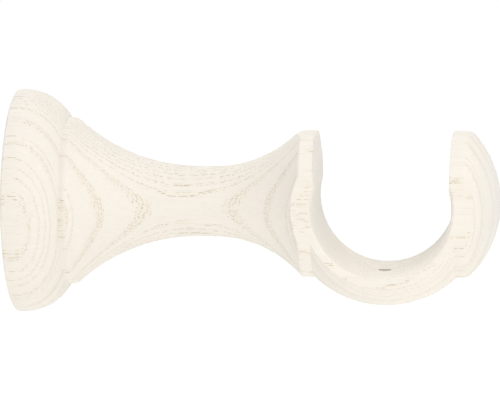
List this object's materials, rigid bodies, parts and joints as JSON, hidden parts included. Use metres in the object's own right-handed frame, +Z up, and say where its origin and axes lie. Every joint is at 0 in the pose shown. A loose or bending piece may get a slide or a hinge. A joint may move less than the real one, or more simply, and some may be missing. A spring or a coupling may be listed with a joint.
{
  "type": "curtain pole bracket",
  "caption": "Turned wooden wall bracket with a round plate, a waisted neck and a ball end cut into an open cradle that carries a curtain pole.",
  "frame": {"origin": "centre of the plate's flat back face, on the turning axis", "axes": "+X out from the wall along the turning axis, +Z up, with the cradle open upwards, and the pole along Y"},
  "size_m": [0.108, 0.05, 0.05],
  "materials": {
    "bracket": "pale lime-washed open-pored hardwood, matt"
  },
  "bodies": {
    "root": {"bracket": "bracket"}
  },
  "joints": []
}
